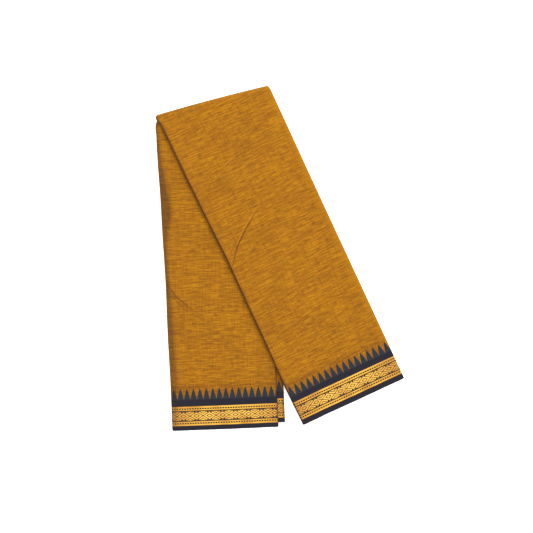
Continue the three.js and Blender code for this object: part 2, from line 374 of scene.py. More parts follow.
def block_object(name, points, measures):
    """A closed piece from a block of points in millimetres, with its measures kept at the points.

    `measures` holds one array for each value that the material reads. The first two, the distances along
    the cloth in u and in v, also make the UV map, in metres.
    """
    faces = block_faces(*points.shape[:3])
    points = points.reshape(-1, 3)
    used, faces = np.unique(faces, return_inverse=True)
    faces = faces.reshape(-1, 4)
    points = points[used]
    if signed_volume(points, faces) < 0:
        faces = faces[:, ::-1]
    mesh = bpy.data.meshes.new(name)
    mesh.vertices.add(len(points))
    mesh.vertices.foreach_set("co", (points * MM).ravel())
    mesh.loops.add(faces.size)
    mesh.loops.foreach_set("vertex_index", faces.ravel())
    mesh.polygons.add(len(faces))
    mesh.polygons.foreach_set("loop_start", np.arange(0, faces.size, 4))
    mesh.update(calc_edges=True)
    flat = {key: values.reshape(-1)[used] for key, values in measures.items()}
    cloth_map = mesh.uv_layers.new(name="cloth")
    along = np.stack([flat["u"], flat["v"]], -1)[faces.ravel()] * MM
    cloth_map.uv.foreach_set("vector", along.ravel())
    for key, values in flat.items():
        mesh.attributes.new(key, "FLOAT", "POINT").data.foreach_set("value", values)
    mesh.shade_smooth()
    mesh.set_sharp_from_angle(angle=math.radians(48))
    piece = bpy.data.objects.new(name, mesh)
    bpy.context.scene.collection.objects.link(piece)
    return piece


def spread(low, high, spacing):
    """Evenly spaced values from low to high, about `spacing` apart."""
    return np.linspace(low, high, max(2, int(round(abs(high - low) / spacing)) + 1))


def wrap_section(thickness, inner_edge, outer_edge, inner_spacing, outer_spacing):
    """The outer leaf's section across a leg, as positions, outward normals and distances along the cloth.

    It runs along the inner face to the closed side, round a half circle, along the outer face, round the
    outermost lip, which is another half circle, and back in between the layers.
    """
    middle = CLOSED_RADIUS - thickness / 2
    lip_start = outer_edge - LIP_RADIUS
    lip_middle = LIP_RADIUS - thickness / 2
    inner = spread(inner_edge, CLOSED_RADIUS, inner_spacing)[:-1]
    fold = np.radians(spread(270, 90, 12))
    outer = spread(CLOSED_RADIUS, lip_start, outer_spacing)[1:]
    lip = np.radians(spread(90, -90, 20))[1:]
    tuck = lip_start - np.array([2.0, 5.0, 9.0])
    across = np.concatenate(
        [
            inner,
            CLOSED_RADIUS + middle * np.cos(fold),
            outer,
            lip_start + lip_middle * np.cos(lip),
            tuck,
        ]
    )
    depth = np.concatenate(
        [
            np.full(inner.shape, thickness / 2),
            CLOSED_RADIUS + middle * np.sin(fold),
            np.full(outer.shape, PACK_THICK - thickness / 2),
            PACK_THICK - LIP_RADIUS + lip_middle * np.sin(lip),
            np.full(tuck.shape, PACK_THICK - LIP_RADIUS - lip_middle),
        ]
    )
    normals = np.concatenate(
        [
            np.tile([0.0, -1.0], (len(inner), 1)),
            np.stack([np.cos(fold), np.sin(fold)], -1),
            np.tile([0.0, 1.0], (len(outer), 1)),
            np.stack([np.cos(lip), np.sin(lip)], -1),
            np.tile([0.0, -1.0], (len(tuck), 1)),
        ]
    )
    steps = np.hypot(np.diff(across), np.diff(depth))
    run = np.concatenate([[0], np.cumsum(steps)])
    fold_middle = len(inner) + len(fold) // 2
    return across, depth, normals, run - run[fold_middle]


def ripples(u, v, height):
    """Soft waves of the pressed cloth: three crossed sines of unlike lengths, two of them bent by others."""
    bend = 0.9 * np.sin(v / 61.0 + 1.3)
    long_wave = np.sin(v / 38.0 + 0.6 * np.sin(u / 47.0))
    cross_wave = np.sin(u / 29.0 + bend)
    slanted = np.sin((u * 0.8 + v) / 21.0 + 2.1)
    return height * (0.5 * long_wave + 0.3 * cross_wave + 0.2 * slanted)


def crease_measures(creases, across, from_hem):
    """Signed distance to the nearest crease line and how strong it is there.

    Each crease is a line of points with a strength. The distance is to its spans, and the strength fades
    at both ends with the distance run along the line.
    """
    nearest = np.full(across.shape, 30.0)
    strength = np.zeros(across.shape)
    for line, power in creases:
        line = np.array(line, float)
        starts = line[:-1]
        spans = line[1:] - starts
        lengths = np.linalg.norm(spans, axis=1)
        run = np.concatenate([[0], np.cumsum(lengths)])
        for start, span, length, done in zip(starts, spans, lengths, run):
            along = ((across - start[0]) * span[0] + (from_hem - start[1]) * span[1]) / length
            side = ((across - start[0]) * span[1] - (from_hem - start[1]) * span[0]) / length
            over = along - np.clip(along, 0, length)
            distance = np.sign(side) * np.hypot(side, over)
            share = np.clip((done + np.clip(along, 0, length)) / run[-1], 0, 1)
            fade = np.sin(np.pi * np.clip(share, 0.03, 0.97)) ** 0.5
            closer = np.abs(distance) < np.abs(nearest)
            nearest = np.where(closer, distance, nearest)
            strength = np.where(closer, power * fade, strength)
    return nearest, strength


# Creases as (across, from the hem), each with its strength. The first in each list are the photograph's.
UPPER_CREASES = (
    (((91, 385), (68, 369), (52, 358), (32, 342), (19, 328), (3, 309)), 1.0),
    (((34, 352), (17, 337), (2, 322)), 0.3),
)
LOWER_CREASES = (
    (((3, 262), (19, 240), (46, 216)), 0.9),
    (((9, 243), (24, 226), (36, 214)), 0.4),
    (((46, 193), (47, 188)), 0.8),
)


def outer_leaf(name, leg, sizes, inner_edge, outer_edge, visible_inner, creases, with_turn):
    """The outer leaf of a leg, as a closed sheet: its section carried from the hem to the turn."""
    spacing = sizes.point_spacing / MM
    thickness = sizes.cloth_thickness / MM
    inner_spacing = spacing if visible_inner else spacing * 2
    outer_spacing = spacing * 2 if visible_inner else spacing
    across, depth, normals, run = wrap_section(
        thickness, inner_edge, outer_edge, inner_spacing, outer_spacing
    )
    u = -run if visible_inner else run
    shown_side = u[:, None] > 0
    shown_edge = inner_edge if visible_inner else outer_edge
    near_hem = np.array([0.0, 0.004, 0.01])
    shares = np.concatenate([near_hem, spread(0.016, 1, spacing / leg["left_side"])])
    length = leg_length(leg, across)
    from_top = PACK_THICK - depth if leg["faces_up"] else depth
    back = leg["hem_slant"] * smooth_step(from_top, 0, PACK_THICK)
    if visible_inner:
        back = np.where(depth > 1.5, np.maximum(back, corner_step(across)), back)
    v = shares[None, :] * length[:, None]
    hem_wave = 0.15 * np.sin(across / 27.0 + 0.8) + 0.08 * np.sin(across / 6.3)
    from_hem = v + (back + hem_wave)[:, None] * (1 - shares[None, :]) ** 8
    # The waves die out at the closed side, the hem, the turn and the open edge
    off_turn = smooth_step(1 - shares, 0, 0.04)
    off_edge = smooth_step(np.abs(across - shown_edge), 0, 14)[:, None]
    calm = smooth_step(u, 0, 12)[:, None] * smooth_step(v, 0, 25) * off_turn * off_edge
    height = sizes.ripple_height / MM
    wave = ripples(u[:, None], v, height) - 0.6 * height
    under = 0.5 * ripples(run[:, None] * 1.3 + 40, v * 1.1, height)
    relief = np.where(shown_side, wave * calm, under * smooth_step(v, 5, 30) * (1 - shares))
    distance, strength = crease_measures(creases, across[:, None] + 0 * v, from_hem)
    strength = strength * shown_side
    relief = relief - sizes.crease_depth / MM * strength * np.exp(-((distance / 2.2) ** 2))
    relief = np.clip(relief, -0.75, 0.75)
    if not leg["faces_up"]:
        relief = np.minimum(relief, 0.0)
    levels = np.array([-0.5, 0.5]) * thickness
    out = levels[None, None, :] + relief[..., None]
    at_across = across[:, None, None] + normals[:, 0, None, None] * out
    at_depth = depth[:, None, None] + normals[:, 1, None, None] * out
    points = place_on_leg(leg, at_across, from_hem[..., None], at_depth)
    if with_turn:
        angles = spread(0, 180, 9)[1:]
        flat_out = levels[None, None, :] + 0 * angles[None, :, None]
        round_points = place_on_turn(
            angles[None, :, None],
            across[:, None, None] + normals[:, 0, None, None] * flat_out,
            depth[:, None, None] + normals[:, 1, None, None] * flat_out,
        )
        arc = np.radians(angles)[None, :] * (CREASE_RADIUS + depth)[:, None]
        points = np.concatenate([points, round_points], 1)
        v = np.concatenate([v, length[:, None] + arc], 1)
        distance = np.concatenate([distance, np.full(arc.shape, 30.0)], 1)
        strength = np.concatenate([strength, np.zeros(arc.shape)], 1)
    return sheet_object(name, leg, points, u, v, distance, strength)


def fold_weft_and_painted_light(leg, u, v):
    """How far the folds turn up the dark weft, with the painted shade and highlight along the leaves' edges.

    At the closed side it is a flat-topped bell and a wide faint one, placed by the leg's table: the weft that
    the fold turns up with painted shade on the lower leg, and a painted shadow on the upper leg. At the open
    edge of the side that shows it is a narrow bell of painted shade, or a painted highlight where its
    strength is negative.
    """
    table = np.array(leg["weft_and_painted_light"])
    strength, middle, reach = (np.interp(v, table[:, 0], table[:, column]) for column in (1, 2, 3))
    beside = (u[:, None] - middle) / reach
    bell = 0.86 * np.exp(-(beside**4)) + 0.14 * np.exp(-((beside / 2.4) ** 2))
    power, edge_reach = leg["open_edge"]
    edge = power * np.exp(-(((u - leg["edge_u"]) / edge_reach) ** 2))
    return strength * bell + edge[:, None]


def sheet_object(name, leg, points, u, v, distance, strength):
    """A leaf's closed mesh, with its distances along the cloth and its place in the border's repeats."""
    flat = CLOSED_RADIUS - QUARTER_ROUND
    spread_out = np.ones(points.shape[:3])
    wide = u[:, None, None] * spread_out
    measures = {
        "u": wide,
        "v": v[..., None] * spread_out,
        "tooth": (wide + flat - leg["teeth"][0]) / leg["teeth"][1],
        "diamond": (wide + flat - leg["diamonds"][0]) / leg["diamonds"][1],
        "band": v[..., None] * spread_out - BAND_MIDDLE - leg["band_shift"],
        # The fold's weft, with the painted shade, shadow and highlight along the leaves' edges
        "weft_and_painted_light": fold_weft_and_painted_light(leg, u, v)[..., None] * spread_out,
        "crease": distance[..., None] * spread_out,
        "crease_strength": strength[..., None] * spread_out,
    }
    return block_object(name, points, measures)


def second_leaf(sizes):
    """The leaf under the lower leg's front leaf, folded over at its right edge and back under itself."""
    thickness = 0.35
    radius = 0.45
    top = 0.95
    spacing = sizes.point_spacing / MM
    flat_end = SECOND_LEAF_EDGE - radius - thickness / 2
    covered_run = spread(CLOSED_RADIUS + 5, 170, spacing * 2)
    upper_run = np.concatenate([covered_run[:-1], spread(170, flat_end, 2.2)])
    bend = np.radians(spread(90, -90, 30))[1:-1]
    lower_run = np.concatenate([spread(flat_end, 170, 2.6), spread(170, 100, spacing * 2)[1:]])
    across = np.concatenate([upper_run, flat_end + radius * np.cos(bend), lower_run])
    depth = np.concatenate(
        [
            np.full(upper_run.shape, top + thickness / 2),
            top + thickness / 2 + radius - radius * np.sin(bend),
            np.full(lower_run.shape, top + thickness / 2 + 2 * radius),
        ]
    )
    normals = np.concatenate(
        [
            np.tile([0.0, -1.0], (len(upper_run), 1)),
            np.stack([np.cos(bend), -np.sin(bend)], -1),
            np.tile([0.0, 1.0], (len(lower_run), 1)),
        ]
    )
    steps = np.hypot(np.diff(across), np.diff(depth))
    run = np.concatenate([[0], np.cumsum(steps)]) + across[0]
    u = run + QUARTER_ROUND - CLOSED_RADIUS
    length = leg_length(LOWER, across)
    share = np.concatenate([[0.0, 0.005], spread(0.012, 1, spacing / LOWER["left_side"])])
    v = share[None, :] * (length - SECOND_LEAF_TOP - SECOND_LEAF_HEM)[:, None]
    hem_wave = 0.3 * np.sin(across / 9.0)
    under = (depth > top + radius).astype(float) * 0.9
    from_hem = v + SECOND_LEAF_HEM + (hem_wave + under)[:, None] * np.exp(-v / 20)
    levels = np.array([-0.5, 0.5]) * thickness
    points = place_on_leg(
        LOWER,
        across[:, None, None] + normals[:, 0, None, None] * levels,
        from_hem[..., None],
        depth[:, None, None] + normals[:, 1, None, None] * levels,
    )
    away = np.full(v.shape, 30.0)
    return sheet_object("second_leaf_cloth", SECOND_LEAF, points, u, v, away, 0 * v)


def lip_profile():
    """Levels through the hidden layers: share of the thickness, and how far fold and hem stand back.

    Each lip is rounded as a half ellipse, and the cloth dips into a groove where two lips meet. The last
    rows stand well back, inside the outer leaf's rounded lip.
    """
    shares = []
    folds = []
    hems = []
    for start, end, fold, hem in LIPS:
        for t in (0.0, 0.08, 0.25, 0.5, 0.75, 0.92):
            roundness = 1 - math.sqrt(max(0.0, 1 - (2 * t - 1) ** 2))
            shares.append(start + (end - start) * t)
            folds.append(fold + 2.6 * roundness)
            hems.append(hem + 1.6 * roundness)
    return np.array(shares), np.array(folds), np.array(hems)


def inner_folds(sizes):
    """The layers inside the pack as one closed body, with the lips of their folds on the open side.

    Its columns go from the closed side's half circle to the lips, its rows from the upper hem over the
    turn to the lower hem, and its levels through the thickness.
    """
    thickness = sizes.cloth_thickness / MM
    top_side = thickness + 0.15
    outer_side = PACK_THICK - thickness - 0.15
    lip_shares, folds, hems = lip_profile()
    half = PACK_THICK - 2 * LIP_RADIUS
    lip_depths = top_side + (half - 0.1 - top_side) * lip_shares
    inside_lip = np.array([0.02, 0.2, 0.5, 0.8, 1.0])
    lip_levels = half + 0.05 + (outer_side - half - 0.05) * inside_lip
    depths = np.concatenate([lip_depths, [half - 0.05], lip_levels])
    folds = np.concatenate([folds, [6.0], np.full(5, 12.0)])
    hem_back = np.concatenate([hems, [3.0], 1.0 + 1.2 * (1 - np.sqrt(1 - (2 * inside_lip - 1) ** 2))])
    radius = CLOSED_RADIUS - top_side
    rise = np.clip(np.abs(depths - CLOSED_RADIUS) / radius, 0, 1)
    closed = CLOSED_RADIUS - radius * np.sqrt(1 - rise**2)
    bands = np.array([0.0, 0.12, 0.3, 0.6, 1.0])
    near = closed[None, :] + (CLOSED_RADIUS + 0.5 - closed)[None, :] * bands[:, None]
    columns = np.concatenate([spread(12, 180, 24), FRONT_LEAF_EDGE - np.array([3.0, 1.0])])
    flat = columns[:, None] + 0 * depths[None, :]
    edge = (PACK_WIDTH - thickness - folds)[None, :]
    across = np.concatenate([near, flat, edge])
    share_upper = np.concatenate([[0.0, 0.006], spread(0.02, 1, 0.02)])
    angles = spread(0, 180, 12)[1:-1]
    share_lower = share_upper[::-1]
    length_upper = leg_length(UPPER, across)
    length_lower = leg_length(LOWER, across)
    layers = np.ones(across.shape)
    upper_slant = UPPER["hem_slant"] * smooth_step(PACK_THICK - depths, 0, PACK_THICK)
    lower_slant = LOWER["hem_slant"] * smooth_step(depths, 0, PACK_THICK)
    hem_upper = (1.2 + hem_back + upper_slant)[None, :]
    hem_lower = (1.5 + hem_back + lower_slant)[None, :]
    hem_lower = np.maximum(hem_lower, corner_step(across) + hem_back[None, :])
    # Under the second leaf the lower leg's layers start deeper
    lower_from = 2.45
    lower_depths = lower_from + (outer_side - lower_from) * (depths - top_side) / (outer_side - top_side)
    blocks = []
    runs = []
    for share in share_upper:
        from_hem = length_upper * share + hem_upper * (1 - share) ** 8
        blocks.append(place_on_leg(UPPER, across, from_hem, depths[None, :] * layers))
        runs.append(length_upper * share)
    for angle in angles:
        blocks.append(place_on_turn(angle, across, depths[None, :] * layers))
        runs.append(length_upper + 0 * across)
    for share in share_lower:
        from_hem = length_lower * share + hem_lower * (1 - share) ** 8
        settle = smooth_step(1 - share, 0.0, 0.03)
        level = depths + (lower_depths - depths) * settle
        blocks.append(place_on_leg(LOWER, across, from_hem, level[None, :] * layers))
        runs.append(length_lower * share)
    points = np.stack(blocks, 1)
    v = np.stack(runs, 1)
    ring = np.hypot(np.minimum(across - CLOSED_RADIUS, 0), depths[None, :] - CLOSED_RADIUS)
    layer = ring[:, None, :] * np.ones(v.shape)
    measures = {"u": across[:, None, :] * np.ones(v.shape), "v": v, "layer": layer}
    return block_object("inner_folds", points, measures)


def add_node(tree, kind, inputs=None, **settings):
    """Adds a node with its settings, and sets its inputs or links them.

    A socket is linked as it is, and a node from its first output.
    """
    node = tree.nodes.new(kind)
    for name, value in settings.items():
        setattr(node, name, value)
    for key, value in (inputs or {}).items():
        if isinstance(value, bpy.types.Node):
            value = value.outputs[0]
        if isinstance(value, bpy.types.NodeSocket):
            tree.links.new(value, node.inputs[key])
        else:
            node.inputs[key].default_value = value
    return node


def fill_ramp(node, stops):
    """Gives a colour ramp its stops, each a place and a colour."""
    elements = node.color_ramp.elements
    while len(elements) > 1:
        elements.remove(elements[-1])
    elements[0].position = stops[0][0]
    elements[0].color = (*stops[0][1], 1)
    for place, colour in stops[1:]:
        elements.new(place).color = (*colour, 1)


def new_material(name):
    """An empty node material with its output node."""
    material = bpy.data.materials.new(name)
    material.use_nodes = True
    material.node_tree.nodes.clear()
    return material, add_node(material.node_tree, "ShaderNodeOutputMaterial")


MATH = "ShaderNodeMath"
MIX = "ShaderNodeMix"
RANGE = "ShaderNodeMapRange"
RAMP = "ShaderNodeValToRGB"
NOISE = "ShaderNodeTexNoise"
COMBINE = "ShaderNodeCombineXYZ"
READ = "ShaderNodeAttribute"


def opaque(colour):
    """A setting's colour with full alpha."""
    return (*colour, 1.0)


def cloth_measures(tree):
    """Distances along the cloth in millimetres, across the leg and from the selvedge."""
    cloth_map = add_node(tree, "ShaderNodeUVMap", uv_map="cloth")
    apart = add_node(tree, "ShaderNodeSeparateXYZ", {0: cloth_map})
    u = add_node(tree, MATH, {0: apart.outputs[0], 1: 1000.0}, operation="MULTIPLY")
    v = add_node(tree, MATH, {0: apart.outputs[1], 1: 1000.0}, operation="MULTIPLY")
    return u, v


def streaks(tree, u, v, run, width, detail):
    """Noise drawn out along u: each streak is about `run` long and `width` wide, in millimetres."""
    along = add_node(tree, MATH, {0: u, 1: run}, operation="DIVIDE")
    wide = add_node(tree, MATH, {0: v, 1: width}, operation="DIVIDE")
    place = add_node(tree, COMBINE, {0: along, 1: wide})
    return add_node(
        tree, NOISE, {"Vector": place, "Scale": 1.0, "Detail": detail}, noise_dimensions="2D"
    ).outputs["Fac"]


def shot_cotton_colour(tree, u, v, colours):
    """Colour of the body: mustard warp shot with brown weft, slubbed along the weft.

    Long slubs, short ones and a crosshatch of both yarns, coarser than the real 0.4 mm threads because
    these would be too fine to show.
    """
    warp = opaque(colours.warp)
    bright = opaque(colours.bright)
    weft = opaque(colours.weft)
    long_streaks = streaks(tree, u, v, 34.0, 2.4, 3.0)
    short_streaks = streaks(tree, u, v, 12.0, 1.5, 2.0)
    warp_streaks = streaks(tree, v, u, 34.0, 1.6, 2.0)
    cloud_streaks = streaks(tree, u, v, 80.0, 30.0, 2.0)
    long_slubs = add_node(tree, RANGE, {0: long_streaks, 1: 0.37, 2: 0.64})
    short_slubs = add_node(tree, RANGE, {0: short_streaks, 1: 0.3, 2: 0.52})
    warp_lines = add_node(tree, RANGE, {0: warp_streaks, 1: 0.44, 2: 0.7})
    patches = add_node(tree, RANGE, {0: cloud_streaks, 1: 0.3, 2: 0.7})
    low = add_node(tree, MATH, {0: 1.0, 1: short_slubs}, operation="SUBTRACT")
    brown_share = add_node(tree, MATH, {0: low, 1: 0.58}, operation="MULTIPLY")
    crossed = add_node(tree, MATH, {0: warp_lines, 1: 0.34}, operation="MULTIPLY")
    clouds = add_node(tree, MATH, {0: patches, 1: 0.2}, operation="MULTIPLY")
    base = add_node(tree, MIX, {0: long_slubs, 6: warp, 7: bright}, data_type="RGBA").outputs[2]
    for share in (brown_share, crossed, clouds):
        base = add_node(tree, MIX, {0: share, 6: base, 7: weft}, data_type="RGBA").outputs[2]
    return base, short_slubs


# The rows of the gold band on either side of its middle, in millimetres, each with its thread. Between a
# row's end and the next one's start the threads blend.
BAND_ROWS = (
    (0.0, 7.7, "zari_ground"),
    (7.9, 9.5, "outline"),
    (10.0, 11.5, "zari"),
    (11.9, 13.9, "outline"),
    (14.4, 16.9, "zari"),
    (17.2, 20.0, "border"),
)
BAND_REACH = 20.0


def border_colour(tree, u, v, colours):
    """Colour of the border and how much of it is gold thread.

    Everything is laid out from the middle of the gold band, whose two halves mirror each other: diamonds,
    a row of dark triangles, a gold line, a dotted row, a gold stripe, and near-black out to both sides.
    """
    from_middle = add_node(tree, READ, attribute_name="band").outputs["Fac"]
    from_middle = add_node(tree, MATH, {0: from_middle}, operation="ABSOLUTE")
    place = add_node(tree, MATH, {0: from_middle, 1: BAND_REACH}, operation="DIVIDE")
    threads = add_node(tree, RAMP, {0: place})
    gold_rows = add_node(tree, RAMP, {0: place})
    ends = [(at / BAND_REACH, thread) for start, end, thread in BAND_ROWS for at in (start, end)]
    fill_ramp(threads, [(at, getattr(colours, thread)) for at, thread in ends])
    fill_ramp(gold_rows, [(at, [float(thread.startswith("zari"))] * 3) for at, thread in ends])
    # Diamonds one in another: their outlines come at even steps of the distance sideways plus upwards
    repeat = add_node(tree, READ, attribute_name="diamond").outputs["Fac"]
    beside = add_node(tree, MATH, {0: repeat, 1: 0.5}, operation="PINGPONG")
    sideways = add_node(tree, MATH, {0: beside, 1: 2.0}, operation="MULTIPLY")
    upward = add_node(tree, MATH, {0: from_middle, 1: 7.0}, operation="DIVIDE")
    rings = add_node(tree, MATH, {0: sideways, 1: upward}, operation="ADD")
    shifted = add_node(tree, MATH, {0: rings, 1: 0.42}, operation="SUBTRACT")
    wave = add_node(tree, MATH, {0: shifted, 1: 0.29}, operation="PINGPONG")
    line = add_node(tree, RANGE, {0: wave, 1: 0.065, 2: 0.125, 3: 1.0, 4: 0.0})
    in_band = add_node(tree, RANGE, {0: from_middle, 1: 7.3, 2: 7.7, 3: 1.0, 4: 0.0})
    line = add_node(tree, MATH, {0: line, 1: in_band}, operation="MULTIPLY")
    heart = add_node(tree, RANGE, {0: rings, 1: 0.12, 2: 0.26, 3: 1.0, 4: 0.0})
    # Dark triangles, one on each side of a diamond's point
    reach = add_node(tree, MATH, {0: beside, 1: 0.14}, operation="SUBTRACT")
    reach = add_node(tree, MATH, {0: reach}, operation="ABSOLUTE")
    narrowing = add_node(tree, RANGE, {0: from_middle, 1: 5.2, 2: 8.6, 3: 0.0, 4: 0.125})
    inside = add_node(tree, MATH, {0: narrowing, 1: reach}, operation="SUBTRACT")
    triangle = add_node(tree, RANGE, {0: inside, 1: -0.008, 2: 0.012})
    below = add_node(tree, RANGE, {0: from_middle, 1: 9.5, 2: 9.8, 3: 1.0, 4: 0.0})
    triangle = add_node(tree, MATH, {0: triangle, 1: below}, operation="MULTIPLY")
    # Gold dots, 4.6 mm apart, in the brown row
    dots = add_node(tree, MATH, {0: u, 1: 2.3}, operation="PINGPONG")
    dot = add_node(tree, RANGE, {0: dots, 1: 1.5, 2: 1.9})
    in_row = add_node(tree, MATH, {0: from_middle, 1: 12.85, 2: 0.9}, operation="COMPARE")
    dot = add_node(tree, MATH, {0: dot, 1: in_row}, operation="MULTIPLY")
    colour = threads.outputs[0]
    figures = (
        (line, colours.outline),
        (heart, colours.zari),
        (triangle, colours.border),
        (dot, colours.zari_ground),
    )
    for share, thread in figures:
        colour = add_node(tree, MIX, {0: share, 6: colour, 7: opaque(thread)}, data_type="RGBA").outputs[2]
    keep = add_node(tree, MATH, {0: 1.0, 1: triangle}, operation="SUBTRACT")
    gold = add_node(tree, MATH, {0: gold_rows, 1: keep}, operation="MULTIPLY")
    gold = add_node(tree, MATH, {0: gold, 1: line}, operation="SUBTRACT", use_clamp=True)
    # The thread's metal has dulled to copper in patches about 40 mm long, and towards the pack's folds
    patch = add_node(tree, RANGE, {0: streaks(tree, u, v, 40.0, 60.0, 1.0), 1: 0.46, 2: 0.64})
    from_axis = add_node(tree, MATH, {0: u, 1: 0.5 * PACK_WIDTH}, operation="SUBTRACT")
    from_axis = add_node(tree, MATH, {0: from_axis}, operation="ABSOLUTE")
    near_fold = add_node(tree, RANGE, {0: from_axis, 1: 40.0, 2: 92.0})
    dull = add_node(tree, MATH, {0: patch, 1: near_fold}, operation="MAXIMUM")
    dull = add_node(tree, MATH, {0: dull, 1: gold}, operation="MULTIPLY")
    copper = (0.72, 0.59, 0.62, 1.0)
    colour = add_node(tree, MIX, {0: dull, 6: colour, 7: copper}, data_type="RGBA", blend_type="MULTIPLY")
    return colour.outputs[2], gold


def handloom_cotton(colours):
    """Handloom cotton, woven in one with its border.

    The yarns are matt with a little fuzz, so the cloth is rough with a faint sheen. The gold thread is
    cotton wound with metal strip, so it reflects in its own colour. The border's teeth are interlocked
    weft, so the near-black turns to slate there and the body's yarns show between.
    """
    material, output = new_material("handloom_cotton")
    tree = material.node_tree
    bright = opaque(colours.bright)
    weft = opaque(colours.weft)
    u, v = cloth_measures(tree)
    field, slubs = shot_cotton_colour(tree, u, v, colours)
    border, gold = border_colour(tree, u, v, colours)
    # A tooth's edge falls from its tip with the 1.36th power of the distance beside it.
    jag = add_node(tree, RANGE, {0: streaks(tree, u, v, 1.3, 2.6, 1.0), 1: 0.2, 2: 0.8, 3: -0.5, 4: 0.5})
    wander = add_node(tree, MATH, {0: v, 1: jag}, operation="ADD")
    tooth = add_node(tree, READ, attribute_name="tooth").outputs["Fac"]
    beside = add_node(tree, MATH, {0: tooth, 1: 0.5}, operation="PINGPONG")
    beside = add_node(tree, MATH, {0: beside, 1: 2.0}, operation="MULTIPLY")
    fall = add_node(tree, MATH, {0: beside, 1: 1.36}, operation="POWER")
    tip = BORDER_WIDTH + TOOTH_HEIGHT
    edge = add_node(tree, MATH, {0: fall, 1: -TOOTH_HEIGHT, 2: tip}, operation="MULTIPLY_ADD")
    inside = add_node(tree, MATH, {0: edge, 1: wander}, operation="SUBTRACT")
    in_border = add_node(tree, RANGE, {0: inside, 1: -0.35, 2: 0.35})
    in_teeth = add_node(tree, RANGE, {0: v, 1: BORDER_WIDTH - 0.4, 2: BORDER_WIDTH + 1.2})
    teeth = opaque(colours.teeth)
    border = add_node(tree, MIX, {0: in_teeth, 6: border, 7: teeth}, data_type="RGBA").outputs[2]
    # Between and above the teeth the brown weft is beaten closer: its share by millimetres from the selvedge
    beaten = ((50, 0.42), (70, 0.32), (76.5, 0.28), (78.5, 0.48), (81, 0.2), (85, 0.0))
    browner = add_node(tree, RAMP, {0: add_node(tree, MATH, {0: v, 1: 100.0}, operation="DIVIDE")})
    fill_ramp(browner, [(at / 100, [share] * 3) for at, share in beaten])
    comb = add_node(tree, RANGE, {0: streaks(tree, v, u, 16.0, 1.5, 1.0), 1: 0.35, 2: 0.65, 3: 0.5, 4: 1.5})
    combed = add_node(tree, MATH, {0: browner, 1: comb}, operation="MULTIPLY", use_clamp=True)
    # The closed side's band mixes in the fold brown: the weft that the fold turns up with painted shade on
    # the lower leg, a painted shadow on the upper leg, and painted shade along the lower leaves' open edges.
    # Below zero it paints a highlight in the bright yarn along the upper leg's open edge.
    weft_and_painted_light = add_node(tree, READ, attribute_name="weft_and_painted_light").outputs["Fac"]
    weft_and_shade_share = add_node(tree, MATH, {0: weft_and_painted_light, 1: 0.64}, operation="MULTIPLY", use_clamp=True)
    painted_highlight_share = add_node(tree, MATH, {0: weft_and_painted_light, 1: -0.5}, operation="MULTIPLY", use_clamp=True)
    # A pressed crease gets painted shade in its trough, which also sinks in the bump, and a painted
    # highlight on the side that faces the lamp.
    crease = add_node(tree, READ, attribute_name="crease").outputs["Fac"]
    strength = add_node(tree, READ, attribute_name="crease_strength").outputs["Fac"]
    from_crease = add_node(tree, MATH, {0: crease}, operation="ABSOLUTE")
    trough = add_node(
        tree, RANGE, {0: from_crease, 1: 0.3, 2: 1.8, 3: 1.0, 4: 0.0}, interpolation_type="SMOOTHSTEP"
    )
    trough = add_node(tree, MATH, {0: trough, 1: strength}, operation="MULTIPLY")
    # The painted highlight: a stripe 1.8 to 3.6 mm off the crease, on the side that faces the lamp
    rim = add_node(tree, MATH, {0: crease, 1: 2.7, 2: 0.9}, operation="COMPARE")
    rim = add_node(tree, MATH, {0: rim, 1: strength}, operation="MULTIPLY")
    light = add_node(tree, MATH, {0: rim, 1: 0.5}, operation="MULTIPLY")
    # Mixed into the body: the beaten weft, the painted highlights at the upper leg's open edge and beside the
    # creases, and painted shade in the troughs
    for share, yarn in ((combed, weft), (painted_highlight_share, bright), (light, bright), (trough, weft)):
        field = add_node(tree, MIX, {0: share, 6: field, 7: yarn}, data_type="RGBA").outputs[2]
    colour = add_node(tree, MIX, {0: in_border, 6: field, 7: border}, data_type="RGBA").outputs[2]
    # The fold brown laid over here is the fold's weft and the painted shade and shadow along the edges
    fold = opaque(colours.fold)
    colour = add_node(tree, MIX, {0: weft_and_shade_share, 6: colour, 7: fold}, data_type="RGBA").outputs[2]
    below_teeth = add_node(tree, MATH, {0: 1.0, 1: in_teeth}, operation="SUBTRACT")
    gold = add_node(tree, MATH, {0: gold, 1: in_border}, operation="MULTIPLY")
    gold = add_node(tree, MATH, {0: gold, 1: below_teeth}, operation="MULTIPLY")
    metal = add_node(tree, MATH, {0: gold, 1: 0.35}, operation="MULTIPLY")
    rough = add_node(tree, RANGE, {0: gold, 3: 0.86, 4: 0.5})
    # Relief: the threads' crosshatch, the slubs, the gold thread that stands up, and the creases' troughs
    ribs = streaks(tree, u, v, 9.0, 1.1, 1.0)
    weave = add_node(tree, MATH, {0: ribs, 1: slubs}, operation="ADD")
    raised = add_node(tree, MATH, {0: gold, 1: 1.2, 2: weave}, operation="MULTIPLY_ADD")
    raised = add_node(tree, MATH, {0: trough, 1: -3.0, 2: raised}, operation="MULTIPLY_ADD")
    bump = add_node(tree, "ShaderNodeBump", {"Strength": 0.5, "Distance": 0.12 * MM, "Height": raised})
    shader = add_node(
        tree,
        "ShaderNodeBsdfPrincipled",
        {
            "Base Color": colour,
            "Metallic": metal,
            "Roughness": rough,
            "Normal": bump,
            "Specular IOR Level": 0.08,
            "Sheen Weight": 0.08,
            "Sheen Roughness": 0.5,
            "Sheen Tint": bright,
        },
    )
    tree.links.new(shader.outputs[0], output.inputs[0])
    return material


# The border's colours where the stacked layers' edges pass them, by millimetres from the selvedge
EDGE_ROWS = (
    (0.0, 9.0, "border"),
    (9.4, 43.8, "zari_ground"),
    (44.2, 54.5, "border"),
    (56.0, 66.0, "teeth"),
    (72.0, 100.0, "warp"),
)


